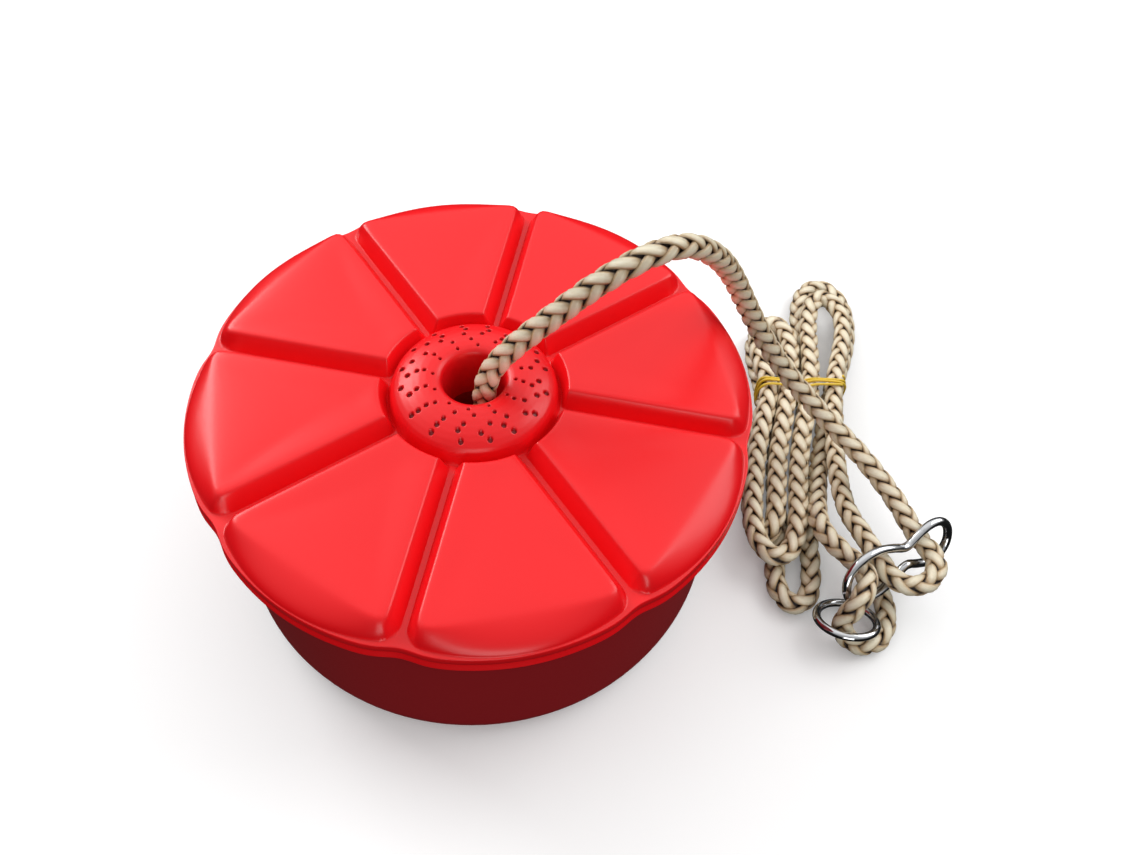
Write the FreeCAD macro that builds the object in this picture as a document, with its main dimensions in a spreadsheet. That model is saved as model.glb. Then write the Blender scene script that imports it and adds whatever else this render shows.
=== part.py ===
import FreeCAD, Part
import math
import os
import Sketcher
from FreeCAD import Placement, Rotation, Vector

# Disc rope swing seat: a hollow moulded disc of eight raised petals on a deep bowl, hung on one
# knotted rope through its middle.  The rope rises out of the hub, arches over the rim, passes
# through a figure-eight wire adjuster and lies folded in two tied hanks beside the seat.
# Millimetres, +Z up, origin on the seat's axis at the surface that the bowl stands on.

DIMENSIONS = {
    "disc_radius": 140,
    "flange_bottom": 110,
    "flange_height": 10,
    "wall": 3.5,
    "petal_count": 8,
    "petal_height": 10,
    "petal_hub_radius": 44.5,
    "petal_reach": 139.4,
    "petal_arc_radius": 100,
    "petal_corner_radius": 8,
    "petal_hub_corner_radius": 6,
    "petal_edge_radius": 4.5,
    "groove_width": 3.5,
    "groove_phase": 38.3,
    "dome_foot_radius": 43,
    "dome_shoulder_radius": 38,
    "dome_crown_radius": 24,
    "dome_height": 16,
    "dome_lip_drop": 3,
    "dome_shoulder_drop": 4,
    "dome_ceiling_drop": 6,
    "dome_edge_radius": 4,
    "bore_radius": 15.5,
    "bore_tube_length": 32,
    "lip_radius": 3,
    "bowl_top_radius": 131.5,
    "bowl_foot_radius": 130,
    "bowl_edge_radius": 18,
    "snap_rim_height": 4,
    "snap_rim_gap": 0.3,
    "recess_radius": 36,
    "recess_height": 38,
    "sleeve_gap": 0.3,
    "sleeve_flange_radius": 28,
    "sleeve_flange_thickness": 4,
    "washer_radius": 24,
    "washer_thickness": 3,
    "washer_gap": 0.3,
    "washer_clearance": 1,
    "knot_radius": 15,
    "knot_half_height": 12,
    "knot_gap": 0.1,
    "knot_tail_diameter": 11,
    "knot_tail_drop": 2,
    "rope_diameter": 12,
    "adjuster_wire": 5,
    "ring_wire": 4.5,
    "ring_radius": 16.5,
    "tie_wire": 1.6,
}

os.makedirs("parts", exist_ok=True)
doc = FreeCAD.newDocument("disc_rope_swing")
sheet = doc.addObject("Spreadsheet::Sheet", "Dimensions")
for row, (alias, number) in enumerate(DIMENSIONS.items(), start=1):
    sheet.set(f"A{row}", alias)
    sheet.set(f"B{row}", str(number))
    sheet.setAlias(f"B{row}", alias)
doc.recompute()


class Size:
    """A length that knows its number and the sheet expression that gives it."""

    def __init__(self, value, text):
        self.value = value
        self.text = text

    def __add__(self, other):
        other = as_size(other)
        return Size(self.value + other.value, f"({self.text} + {other.text})")

    def __sub__(self, other):
        other = as_size(other)
        return Size(self.value - other.value, f"({self.text} - {other.text})")

    def __mul__(self, factor):
        return Size(self.value * factor, f"({self.text} * {factor})")


def as_size(number):
    return number if isinstance(number, Size) else Size(number, str(number))


def dim(alias):
    return Size(float(sheet.get(alias)), f"Dimensions.{alias}")


WALL = dim("wall")
FLANGE_TOP = dim("flange_bottom") + dim("flange_height")
FLANGE_CEILING = FLANGE_TOP - WALL
PETAL_TOP = FLANGE_TOP + dim("petal_height")
DOME_TOP = FLANGE_TOP + dim("dome_height")
DOME_SHOULDER = DOME_TOP - dim("dome_shoulder_drop")
DOME_CEILING = DOME_TOP - dim("dome_ceiling_drop")
BORE = dim("bore_radius")
SLEEVE_OUTER = BORE + WALL
SLEEVE_TOP = DOME_TOP - dim("bore_tube_length")
RIM_RADIUS = dim("disc_radius") - WALL - dim("snap_rim_gap")
HALF_PETAL = math.pi / dim("petal_count").value

# Share of its shorter run that each arc of a rounded path takes up.
ARC_SHARE = 0.45
VOLUME_TOLERANCE = 0.02
# How far a feature reaches past the face that it joins or cuts.
BITE = 1
LEAST_HOLLOW = 1000
HANK_CORNER = 6.5
TIE_GAP = 0.3

nodes = []


def bind(obj, **sizes):
    """Binds each named property of an object to its sheet expression."""
    for name, size in sizes.items():
        obj.setExpression(name, size.text)


def keep(obj, label):
    """Names a finished sub-part; its label is its node and file name."""
    obj.Label = label
    nodes.append(obj)
    return obj


def origin_plane(body, role):
    return next(f for f in body.Origin.OriginFeatures if f.Role == role)


def new_sketch(body, name, role, height=None):
    sketch = body.newObject("Sketcher::SketchObject", name)
    sketch.AttachmentSupport = [(origin_plane(body, role), "")]
    sketch.MapMode = "FlatFace"
    if height is not None:
        sketch.setExpression("AttachmentOffset.Base.z", height.text)
    return sketch


def pin_point(sketch, edge, end, x, y):
    """Holds one end of a sketch edge at a place given by two sizes."""
    for kind, size in (("DistanceX", x), ("DistanceY", y)):
        index = sketch.addConstraint(Sketcher.Constraint(kind, -1, 1, edge, end, size.value))
        sketch.setExpression(f"Constraints[{index}]", size.text)


def revolved(label, section):
    """A body turned about the vertical axis from a closed section of (radius, height) corners."""
    body = doc.addObject("PartDesign::Body", label)
    sketch = new_sketch(body, label + "_section", "XZ_Plane")
    corners = [(as_size(r), as_size(z)) for r, z in section]
    vectors = [Vector(r.value, z.value, 0) for r, z in corners]
    count = len(vectors)
    for i in range(count):
        sketch.addGeometry(Part.LineSegment(vectors[i], vectors[(i + 1) % count]))
    for i in range(count):
        sketch.addConstraint(Sketcher.Constraint("Coincident", i, 2, (i + 1) % count, 1))
    for i, (r, z) in enumerate(corners):
        pin_point(sketch, i, 1, r, z)
    turn = body.newObject("PartDesign::Revolution", label + "_turn")
    turn.Profile = sketch
    turn.ReferenceAxis = (sketch, ["V_Axis"])
    turn.Angle = 360
    doc.recompute()
    return body


def fillet(body, name, radius, chosen):
    """Rounds the edges of a body's tip that the test picks out."""
    base = body.Tip
    edges = [f"Edge{i}" for i, e in enumerate(base.Shape.Edges, start=1) if chosen(e)]
    feature = body.newObject("PartDesign::Fillet", name)
    feature.Base = (base, edges)
    bind(feature, Radius=radius)
    doc.recompute()
    return feature


def ring_edge(radius, height, tolerance=0.05):
    """A test for the full circle of this radius at this height."""
    def chosen(edge):
        if not isinstance(edge.Curve, Part.Circle):
            return False
        same_height = abs(edge.Curve.Center.z - height.value) < tolerance
        return same_height and abs(edge.Curve.Radius - radius.value) < tolerance
    return chosen


def petal_sketch(body, name, height, inset):
    """One petal in plan: two sides along the grooves, a hub arc and a bulging outer arc."""
    offset = dim("groove_width") * 0.5 + inset
    hub = dim("petal_hub_radius") + inset
    arc_radius = dim("petal_arc_radius") - inset
    arc_centre = dim("petal_reach") - dim("petal_arc_radius")
    side = Vector(math.cos(HALF_PETAL), math.sin(HALF_PETAL), 0)
    shift = Vector(math.sin(HALF_PETAL), -math.cos(HALF_PETAL), 0) * offset.value
    inner = shift + side * math.sqrt(hub.value ** 2 - offset.value ** 2)
    to_centre = shift - Vector(arc_centre.value, 0, 0)
    along = to_centre.dot(side)
    reach = -along + math.sqrt(along ** 2 - to_centre.dot(to_centre) + arc_radius.value ** 2)
    outer = shift + side * reach
    inner_low = Vector(inner.x, -inner.y, 0)
    outer_low = Vector(outer.x, -outer.y, 0)
    sketch = new_sketch(body, name, "XY_Plane", height)
    sketch.addGeometry(Part.LineSegment(inner, outer))
    tip = Vector(arc_centre.value + arc_radius.value, 0, 0)
    sketch.addGeometry(Part.Arc(outer, tip, outer_low))
    sketch.addGeometry(Part.LineSegment(outer_low, inner_low))
    sketch.addGeometry(Part.Arc(inner_low, Vector(hub.value, 0, 0), inner))
    for edge, radius in ((1, arc_radius), (3, hub)):
        index = sketch.addConstraint(Sketcher.Constraint("Radius", edge, radius.value))
        sketch.setExpression(f"Constraints[{index}]", radius.text)
    sketch.addConstraint(Sketcher.Constraint("Coincident", 3, 3, -1, 1))
    return sketch


def petal_pattern(body, feature, name):
    pattern = body.newObject("PartDesign::PolarPattern", name)
    pattern.Originals = [feature]
    pattern.Axis = (origin_plane(body, "Z_Axis"), [""])
    pattern.Angle = 360
    pattern.Occurrences = int(dim("petal_count").value)
    body.Tip = pattern
    doc.recompute()
    return pattern


def turned_to_phase(body):
    """Turns a body of the seat so that a groove lies at the groove phase."""
    body.Placement = Placement(Vector(), Rotation(Vector(0, 0, 1), dim("groove_phase").value
                                                  - math.degrees(HALF_PETAL)))


def make_upper_shell():
    body = revolved("upper_shell", [
        (BORE, SLEEVE_TOP),
        (BORE, DOME_TOP - dim("dome_lip_drop")),
        (dim("dome_crown_radius"), DOME_TOP),
        (dim("dome_shoulder_radius"), DOME_SHOULDER),
        (dim("dome_foot_radius"), FLANGE_TOP),
        (dim("disc_radius"), FLANGE_TOP),
        (dim("disc_radius"), dim("flange_bottom")),
        (dim("disc_radius") - WALL, dim("flange_bottom")),
        (dim("disc_radius") - WALL, FLANGE_CEILING),
        (dim("dome_foot_radius") - WALL, FLANGE_CEILING),
        (dim("dome_shoulder_radius") - WALL, DOME_CEILING),
        (SLEEVE_OUTER, DOME_CEILING),
        (SLEEVE_OUTER, SLEEVE_TOP),
    ])
    rise = dim("petal_height")
    hub_clear = dim("petal_hub_radius").value - BITE
    rim_clear = dim("disc_radius").value * 0.7
    pad = body.newObject("PartDesign::Pad", "petal")
    pad.Profile = petal_sketch(body, "petal_plan", FLANGE_TOP - BITE, as_size(0))
    bind(pad, Length=rise + BITE)
    doc.recompute()
    petal_pattern(body, pad, "petals")
    pocket = body.newObject("PartDesign::Pocket", "petal_hollow")
    pocket.Profile = petal_sketch(body, "hollow_plan", FLANGE_CEILING - BITE, WALL)
    pocket.Reversed = True
    bind(pocket, Length=rise + BITE)
    before = body.Shape.Volume
    doc.recompute()
    petal_pattern(body, pocket, "petal_hollows")
    if body.Shape.Volume > before - LEAST_HOLLOW:
        raise RuntimeError("the petals are not hollowed")

    def petal_corner(near, far):
        """A test for the upright edges of the petals and their hollows between two radii."""
        def chosen(edge):
            upright = abs(edge.Vertexes[0].Z - edge.Vertexes[-1].Z) > rise.value - 2 * BITE
            radius = math.hypot(edge.CenterOfMass.x, edge.CenterOfMass.y)
            return upright and edge.CenterOfMass.z > FLANGE_TOP.value and near < radius < far
        return chosen

    def petal_rim(edge):
        return all(abs(v.Z - PETAL_TOP.value) < 0.01 for v in edge.Vertexes)

    fillet(body, "petal_hub_corners", dim("petal_hub_corner_radius"), petal_corner(hub_clear, rim_clear))
    fillet(body, "petal_rim_corners", dim("petal_corner_radius"),
           petal_corner(rim_clear, dim("disc_radius").value))
    fillet(body, "petal_edges", dim("petal_edge_radius"), petal_rim)
    fillet(body, "dome_shoulder", dim("dome_edge_radius"),
           ring_edge(dim("dome_shoulder_radius"), DOME_SHOULDER))
    turned_to_phase(body)
    return keep(body, "upper_shell")


def make_lower_shell():
    recess = dim("recess_radius")
    recess_top = dim("recess_height")
    foot = dim("bowl_foot_radius")
    body = revolved("lower_shell", [
        (RIM_RADIUS, FLANGE_CEILING),
        (RIM_RADIUS, FLANGE_CEILING - dim("snap_rim_height")),
        (dim("bowl_top_radius"), FLANGE_CEILING - dim("snap_rim_height")),
        (foot, as_size(0)),
        (recess, as_size(0)),
        (recess, recess_top),
        (SLEEVE_OUTER + dim("sleeve_gap"), recess_top),
        (SLEEVE_OUTER + dim("sleeve_gap"), recess_top + WALL),
        (recess + WALL, recess_top + WALL),
        (recess + WALL, WALL),
        (foot - WALL, WALL),
        (dim("bowl_top_radius") - WALL, FLANGE_CEILING),
    ])
    fillet(body, "bowl_edge", dim("bowl_edge_radius"), ring_edge(foot, as_size(0)))
    fillet(body, "bowl_inner_edge", dim("bowl_edge_radius") - WALL, ring_edge(foot - WALL, WALL))
    fillet(body, "recess_edge", dim("lip_radius"), ring_edge(recess, as_size(0)))
    return keep(body, "lower_shell")


def make_centre_sleeve():
    flange_top = dim("recess_height")
    flange_low = flange_top - dim("sleeve_flange_thickness")
    body = revolved("centre_sleeve", [
        (BORE, SLEEVE_TOP),
        (SLEEVE_OUTER, SLEEVE_TOP),
        (SLEEVE_OUTER, flange_top),
        (dim("sleeve_flange_radius"), flange_top),
        (dim("sleeve_flange_radius"), flange_low),
        (BORE, flange_low),
    ])
    return keep(body, "centre_sleeve")


def make_knot_washer():
    """The loose steel washer between the knot and the sleeve's flange."""
    top = dim("recess_height") - dim("sleeve_flange_thickness") - dim("washer_gap")
    disc = doc.addObject("Part::Cylinder", "washer_disc")
    hole = doc.addObject("Part::Cylinder", "washer_hole")
    bind(disc, Radius=dim("washer_radius"), Height=dim("washer_thickness"))
    bind(hole, Radius=dim("rope_diameter") * 0.5 + dim("washer_clearance"),
         Height=dim("washer_thickness") + 2 * BITE)
    base = top - dim("washer_thickness")
    disc.setExpression("Placement.Base.z", base.text)
    hole.setExpression("Placement.Base.z", (base - BITE).text)
    washer = doc.addObject("Part::Cut", "washer")
    washer.Base = disc
    washer.Tool = hole
    doc.recompute()
    return keep(washer, "knot_washer"), base


def rounded_path(points, closed=False):
    """Straight runs joined by tangent arcs, each arc as large as its two runs allow."""
    points = [Vector(*p) for p in points]
    count = len(points)
    corners = range(count) if closed else range(1, count - 1)
    starts = {}
    ends = {}
    arcs = {}
    radii = []
    for i in corners:
        before = points[i - 1] - points[i]
        after = points[(i + 1) % count] - points[i]
        shorter = min(before.Length, after.Length)
        cut = ARC_SHARE * shorter
        half_turn = (math.pi - before.getAngle(after)) / 2
        radius = cut / math.tan(half_turn)
        enter = points[i] + before * (cut / before.Length)
        leave = points[i] + after * (cut / after.Length)
        inward = (before * (1 / before.Length) + after * (1 / after.Length)).normalize()
        middle = points[i] + inward * (radius / math.cos(half_turn) - radius)
        arcs[i] = Part.Arc(enter, middle, leave).toShape()
        starts[i] = enter
        ends[i] = leave
        radii.append(radius)
    edges = []
    spans = range(count) if closed else range(count - 1)
    for i in spans:
        nearby = (i + 1) % count
        edges.append(Part.LineSegment(ends.get(i, points[i]),
                                      starts.get(nearby, points[nearby])).toShape())
        if nearby in arcs:
            edges.append(arcs[nearby])
    return Part.Wire(edges), radii


def sweep_round(label, path, diameter):
    """A round bar along a path of tangent edges, with its volume tested."""
    first = path.Edges[0]
    start = first.valueAt(first.FirstParameter)
    direction = first.tangentAt(first.FirstParameter)
    section = Part.Wire(Part.Circle(start, direction, diameter / 2).toShape())
    solid = path.makePipeShell([section], True, False)
    if solid.Volume < 0:
        solid.reverse()
    expected = math.pi * diameter ** 2 / 4 * path.Length
    if abs(solid.Volume / expected - 1) > VOLUME_TOLERANCE:
        raise RuntimeError(f"{label}: volume {solid.Volume:.0f}, expected {expected:.0f}")
    bar = doc.addObject("Part::Feature", label)
    bar.Shape = solid
    return keep(bar, label)


def make_tube(label, points, diameter, closed=False):
    """A round bar along a rounded path; prints its length and its bends."""
    path, radii = rounded_path(points, closed)
    print(label, "length", round(path.Length, 1), "radii", [round(r, 1) for r in radii])
    return sweep_round(label, path, diameter)


def upright_outline(y, x_low, x_high, z_low, z_high, radius):
    """A rounded rectangle in the upright plane at y."""
    corners = [(x_low, z_low), (x_high, z_low), (x_high, z_high), (x_low, z_high)]
    arcs = []
    for i in range(4):
        here = Vector(corners[i][0], y, corners[i][1])
        before = (Vector(corners[i - 1][0], y, corners[i - 1][1]) - here).normalize()
        after_x, after_z = corners[(i + 1) % 4]
        after = (Vector(after_x, y, after_z) - here).normalize()
        middle = here + (before + after) * (radius * (1 - math.sqrt(0.5)))
        arcs.append(Part.Arc(here + before * radius, middle, here + after * radius).toShape())
    edges = []
    for i in range(4):
        edges.append(arcs[i])
        start = arcs[i].Vertexes[-1].Point
        finish = arcs[(i + 1) % 4].Vertexes[0].Point
        edges.append(Part.LineSegment(start, finish).toShape())
    return Part.Wire(edges)


def make_hank(label, sections):
    """One closed solid of the outer shape of a tied hank of rope, lying along Y."""
    wires = [upright_outline(*section, HANK_CORNER) for section in sections]
    hank = doc.addObject("Part::Feature", label)
    hank.Shape = Part.makeLoft(wires, True, True)
    return keep(hank, label)


def make_tie(label, hank):
    """A thin plastic-coated wire bent once round the waist of a hank."""
    waist = next(i for i, section in enumerate(hank) if section[3] > hank[0][3])
    y = (hank[waist][0] + hank[waist + 1][0]) / 2
    x_low, x_high, z_low, z_high = hank[waist][1:]
    proud = dim("tie_wire").value / 2 + TIE_GAP
    path = upright_outline(y, x_low - proud, x_high + proud, z_low - proud, z_high + proud,
                           HANK_CORNER + proud)
    return sweep_round(label, path, dim("tie_wire").value)


# The rope, in the order in which it runs.  The seat's own stretch is straight up the bore.
ROPE_IN_SEAT = [(0, 0, 24), (5, -2, 122)]
LEAD_ROUTE = [
    (5, -2, 122),
    (5.8, -2.3, 138),
    (17, -1, 158),
    (36, 2, 179),
    (56, 6, 200),
    (76, 14, 211),
    (95, 28, 207),
    (111, 43, 187),
    (123, 57, 162),
    (135, 66, 134),
    (148, 71, 107),
    (163, 71, 83),
    (180, 65, 65),
    (200, 53, 51),
    (219, 37, 43.5),
    (239, 15, 34),
    (249, -8, 31),
    (260, -22, 31),
    (253, -37, 30),
    (236, -39, 29),
    (226, -24, 30),
    (219, -6, 28),
    (212, 12, 24),
]
EYE_ROUTE = [
    (196, -5, 27),
    (205, -20, 30),
    (219, -35, 34),
    (211.5, -54, 35.5),
    (203.5, -58, 16.6),
    (213, -66, 6.6),
    (229, -63, 6.6),
    (235, -48, 6.6),
    (233.5, -34, 7.2),
    (229, -20, 7),
]
# Each hank's outline where it crosses Y: y, lowest and highest x, lowest and highest z.
LEFT_HANK = [
    (-24, 157, 175, 0.4, 20),
    (-4, 152, 181, 0.4, 31),
    (46, 157, 187, 0.4, 31),
    (94, 168, 191, 2.4, 28),
    (106, 168, 191, 2.4, 28),
    (138, 166, 192, 0.4, 28),
    (166, 170, 186, 0.4, 18),
]
RIGHT_HANK = [
    (-50, 172, 188, 0.4, 20),
    (-26, 179, 193, 0.4, 30),
    (0, 184, 213, 0.4, 33),
    (46, 190, 221, 0.4, 34),
    (100, 194, 222, 2.4, 32),
    (112, 194, 222, 2.4, 32),
    (160, 195, 238, 0.4, 30),
    (216, 204, 228, 0.4, 18),
]
# Half of the adjuster's outline in its own plane: along its length, and across it.
ADJUSTER_HALF = [
    (-43, 6),
    (-36, 14),
    (-22, 16),
    (-9, 11),
    (0, 5.5),
    (8, 10),
    (17, 13.5),
    (26, 12),
    (31.5, 5),
]
ADJUSTER_CENTRE = Vector(241.5, -20.5, 30.5)
ADJUSTER_HEADING = math.radians(34)
ADJUSTER_LEAN = math.radians(65)
# The ring lies with its far side on the ground and its near side on the eye's rope.
RING_CENTRE = Vector(209.7, -53.5, 12.9)
RING_LEAN = 30


def make_adjuster():
    """The figure-eight wire: it leans on the rope that passes through both its eyes."""
    length_axis = Vector(math.cos(ADJUSTER_HEADING), math.sin(ADJUSTER_HEADING), 0)
    level = Vector(math.sin(ADJUSTER_HEADING), -math.cos(ADJUSTER_HEADING), 0)
    width_axis = level * math.cos(ADJUSTER_LEAN) - Vector(0, 0, 1) * math.sin(ADJUSTER_LEAN)
    outline = ADJUSTER_HALF + [(s, -w) for s, w in reversed(ADJUSTER_HALF)]
    points = [ADJUSTER_CENTRE + length_axis * s + width_axis * w for s, w in outline]
    return make_tube("figure_eight_adjuster", points, dim("adjuster_wire").value, closed=True)


def make_hanging_ring():
    ring = doc.addObject("Part::Torus", "ring_torus")
    bind(ring, Radius1=dim("ring_radius"), Radius2=dim("ring_wire") * 0.5)
    ring.Placement = Placement(RING_CENTRE, Rotation(Vector(1, 0, 0), -RING_LEAN))
    doc.recompute()
    return keep(ring, "hanging_ring")


def make_stopper_knot(washer_base):
    """The knot that carries the seat, with the rope's short tail below it."""
    centre = washer_base - dim("knot_half_height") - dim("knot_gap")
    ball = doc.addObject("Part::Ellipsoid", "knot_ball")
    bind(ball, Radius1=dim("knot_half_height"), Radius2=dim("knot_radius"),
         Radius3=dim("knot_radius"))
    ball.Angle1 = -90
    ball.Angle2 = 90
    ball.Angle3 = 360
    ball.setExpression("Placement.Base.z", centre.text)
    tail = doc.addObject("Part::Cylinder", "knot_tail")
    bind(tail, Radius=dim("knot_tail_diameter") * 0.5, Height=dim("knot_half_height"))
    foot = centre - dim("knot_half_height") - dim("knot_tail_drop")
    tail.setExpression("Placement.Base.z", foot.text)
    knot = doc.addObject("Part::Fuse", "knot")
    knot.Base = ball
    knot.Tool = tail
    doc.recompute()
    return keep(knot, "stopper_knot")


make_upper_shell()
make_lower_shell()
make_centre_sleeve()
washer, washer_low = make_knot_washer()
make_stopper_knot(washer_low)
make_tube("rope_in_seat", ROPE_IN_SEAT, dim("rope_diameter").value)
make_tube("rope_lead", LEAD_ROUTE, dim("rope_diameter").value)
make_hank("right_hank", RIGHT_HANK)
make_hank("left_hank", LEFT_HANK)
make_tube("rope_eye", EYE_ROUTE, dim("rope_diameter").value)
make_tie("right_tie", RIGHT_HANK)
make_tie("left_tie", LEFT_HANK)
make_adjuster()
make_hanging_ring()

doc.recompute()
for item in doc.Objects:
    if "Invalid" in item.State or "Error" in item.State:
        raise RuntimeError(f"{item.Label} failed: {item.State}")
for item in nodes:
    if item.Shape.isNull() or not item.Shape.isValid():
        raise RuntimeError(f"{item.Label} has no valid shape")
for item in nodes:
    item.Shape.exportStep(f"parts/{item.Label}.step")
    print(item.Label, "volume", round(item.Shape.Volume), "solids", len(item.Shape.Solids))
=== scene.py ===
import math

import bpy
import numpy as np
from mathutils import Matrix, Vector


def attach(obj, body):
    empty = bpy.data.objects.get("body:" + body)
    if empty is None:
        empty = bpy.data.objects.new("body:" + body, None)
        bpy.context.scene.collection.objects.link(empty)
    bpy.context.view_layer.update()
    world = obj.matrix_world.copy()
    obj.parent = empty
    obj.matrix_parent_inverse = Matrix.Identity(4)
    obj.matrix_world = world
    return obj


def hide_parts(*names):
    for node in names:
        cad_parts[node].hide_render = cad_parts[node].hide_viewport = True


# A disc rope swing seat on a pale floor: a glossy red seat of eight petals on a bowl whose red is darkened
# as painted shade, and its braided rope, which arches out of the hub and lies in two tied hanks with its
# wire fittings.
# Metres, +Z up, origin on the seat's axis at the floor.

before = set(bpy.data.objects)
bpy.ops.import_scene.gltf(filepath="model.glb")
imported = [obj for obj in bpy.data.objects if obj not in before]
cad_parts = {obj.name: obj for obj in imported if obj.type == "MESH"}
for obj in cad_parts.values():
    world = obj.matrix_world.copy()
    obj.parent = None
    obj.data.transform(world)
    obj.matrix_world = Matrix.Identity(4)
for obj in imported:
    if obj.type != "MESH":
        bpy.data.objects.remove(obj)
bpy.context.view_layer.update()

MM = 0.001

# ---------------------------------------------------------------- sizes
# The CAD model's, with its petals' edges and shoulders refined to the smoother shape that is seen.
PETALS = 8
SECTOR = 2 * math.pi / PETALS
GROOVE_PHASE = math.radians(38.3)
FLANGE_TOP = 120 * MM
FLANGE_RADIUS = 140 * MM
PETAL_HEIGHT = 10 * MM
PETAL_HUB = 43.2 * MM
PETAL_REACH = 139.4 * MM
PETAL_ARC = 94 * MM
RIDGE_DISTANCE = 125.3 * MM
GROOVE_HALF = 1.3 * MM
SIDE_SHOULDER = 4.8 * MM
HUB_SHOULDER = 3.2 * MM

# The rope's route in millimetres, as it runs from the hub's mouth to the sealed end beside its eye.
LEAD = [
    (5, -2, 122), (5.8, -2.3, 138), (17, -1, 158), (36, 2, 179), (56, 6, 200), (76, 14, 211),
    (95, 28, 207), (111, 43, 187), (123, 57, 162), (135, 66, 134), (148, 71, 107), (163, 71, 83),
    (180, 65, 65), (200, 53, 51), (219, 37, 43.5), (239, 15, 34), (249, -8, 31), (260, -22, 31),
    (253, -37, 30), (236, -39, 29), (226, -24, 30), (219, -6, 28), (212, 12, 24),
]
RIGHT_INNER_TURN = [
    (211, 45, 20), (213, 78, 20), (215, 106, 20.5), (221, 130, 19.5), (227, 155, 18.5),
    (226, 175, 18.5), (217, 187, 18.5), (207, 181, 18.5), (203, 163, 18.5), (202, 135, 19.5),
    (201, 106, 20.5), (195, 80, 20), (190, 55, 19), (187, 30, 19), (186, 8, 19),
]
LEFT_UPPER_TURN = [
    (183, -10, 19), (176, -20, 18.5), (168, -20, 18.5), (161, -11, 18.5), (159, 5, 18.5),
    (161, 30, 18.5), (165, 60, 19), (171, 85, 20), (174, 102, 20), (169, 122, 19.5),
    (167, 140, 18.8), (170, 153, 18.6), (178.5, 159, 18.6), (187, 153, 18.6), (190, 139, 18.8),
    (188, 120, 19.5), (185.5, 102, 20), (182, 78, 20), (177, 55, 19), (174.5, 30, 19),
]
LEFT_LOWER_TURN = [
    (173.5, 12, 18), (172, 2, 16), (168, -5, 12.5), (163.5, -4, 9), (161, 5, 7.2),
    (160.5, 25, 6.8), (163, 52, 6.8), (169, 80, 7.5), (174, 100, 8.3), (169.5, 122, 7),
    (167, 142, 6.6), (170, 157, 6.6), (178, 164, 6.6), (186, 157, 6.6), (188.5, 142, 6.6),
    (187, 120, 7), (185.5, 100, 8.3), (181, 78, 7.5), (177, 50, 6.8), (176, 22, 6.6),
]
MIDDLE_BOTTOM = [
    (177, 0, 6.6), (172, -22, 6.6), (174, -38, 6.6), (183, -45, 6.6), (192, -38, 6.6),
    (194, -22, 6.6), (194, 0, 6.6), (191, 30, 6.6), (193, 60, 7), (197, 84, 7.8),
]
RIGHT_OUTER_TURN = [
    (201, 106, 8.5), (199.5, 135, 7), (199.5, 165, 6.6), (201, 190, 6.6), (209, 205, 6.6),
    (221, 207, 6.6), (231, 195, 6.6), (234, 170, 6.6), (228, 140, 7), (215, 106, 8.5),
    (209, 75, 8), (203, 48, 9), (199, 25, 15), (196, 8, 22),
]
EYE = [
    (196, -5, 27), (205, -20, 30), (219, -35, 34), (211.5, -54, 35.5), (203.5, -58, 16.6),
    (213, -66, 6.6), (229, -63, 6.6), (235, -48, 6.6), (233.5, -34, 7.2), (229, -20, 7),
]
ROPE_ROUTE = (LEAD + RIGHT_INNER_TURN + LEFT_UPPER_TURN + LEFT_LOWER_TURN + MIDDLE_BOTTOM
              + RIGHT_OUTER_TURN + EYE)
ROPE_IN_SEAT = [(0, 0, 24), (5, -2, 122)]


# ---------------------------------------------------------------- materials
def new_material(name):
    """A node material: returns it with its tree and its shader."""
    material = bpy.data.materials.new(name)
    material.use_nodes = True
    tree = material.node_tree
    shader = tree.nodes["Principled BSDF"]
    return material, tree, shader


def add_node(tree, kind, **inputs):
    """A new node with some of its inputs set; an underscore stands for a space in an input's name."""
    node = tree.nodes.new(kind)
    for name, value in inputs.items():
        node.inputs[name.replace("_", " ")].default_value = value
    return node


def object_coordinates(tree, scale=(1, 1, 1)):
    place = tree.nodes.new("ShaderNodeTexCoord")
    mapping = add_node(tree, "ShaderNodeMapping", Scale=scale)
    tree.links.new(place.outputs["Object"], mapping.inputs["Vector"])
    return mapping.outputs["Vector"]


def noise(tree, coordinates, scale, detail=3.0, roughness=0.5):
    node = add_node(tree, "ShaderNodeTexNoise", Scale=scale, Detail=detail, Roughness=roughness)
    tree.links.new(coordinates, node.inputs["Vector"])
    return node.outputs["Fac"]


def remap(tree, value, low, high, out_low, out_high):
    node = tree.nodes.new("ShaderNodeMapRange")
    limits = {"From Min": low, "From Max": high, "To Min": out_low, "To Max": out_high}
    for name, number in limits.items():
        node.inputs[name].default_value = number
    tree.links.new(value, node.inputs["Value"])
    return node.outputs["Result"]


def mix_colours(tree, factor, first, second):
    """Mixes two colours, each a tuple or a socket."""
    node = tree.nodes.new("ShaderNodeMix")
    node.data_type = "RGBA"
    colours = [s for s in node.inputs if s.type == "RGBA"]
    for socket, colour in zip(colours, (first, second)):
        if isinstance(colour, tuple):
            socket.default_value = (*colour, 1)
        else:
            tree.links.new(colour, socket)
    tree.links.new(factor, node.inputs["Factor"])
    return next(s for s in node.outputs if s.type == "RGBA")


def add_bump(tree, shader, heights):
    """Stacks bump nodes, one for each (height socket, distance in metres, strength)."""
    normal = None
    for height, distance, strength in heights:
        bump = add_node(tree, "ShaderNodeBump", Strength=strength, Distance=distance)
        tree.links.new(height, bump.inputs["Height"])
        if normal is not None:
            tree.links.new(normal, bump.inputs["Normal"])
        normal = bump.outputs["Normal"]
    tree.links.new(normal, shader.inputs["Normal"])


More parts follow.
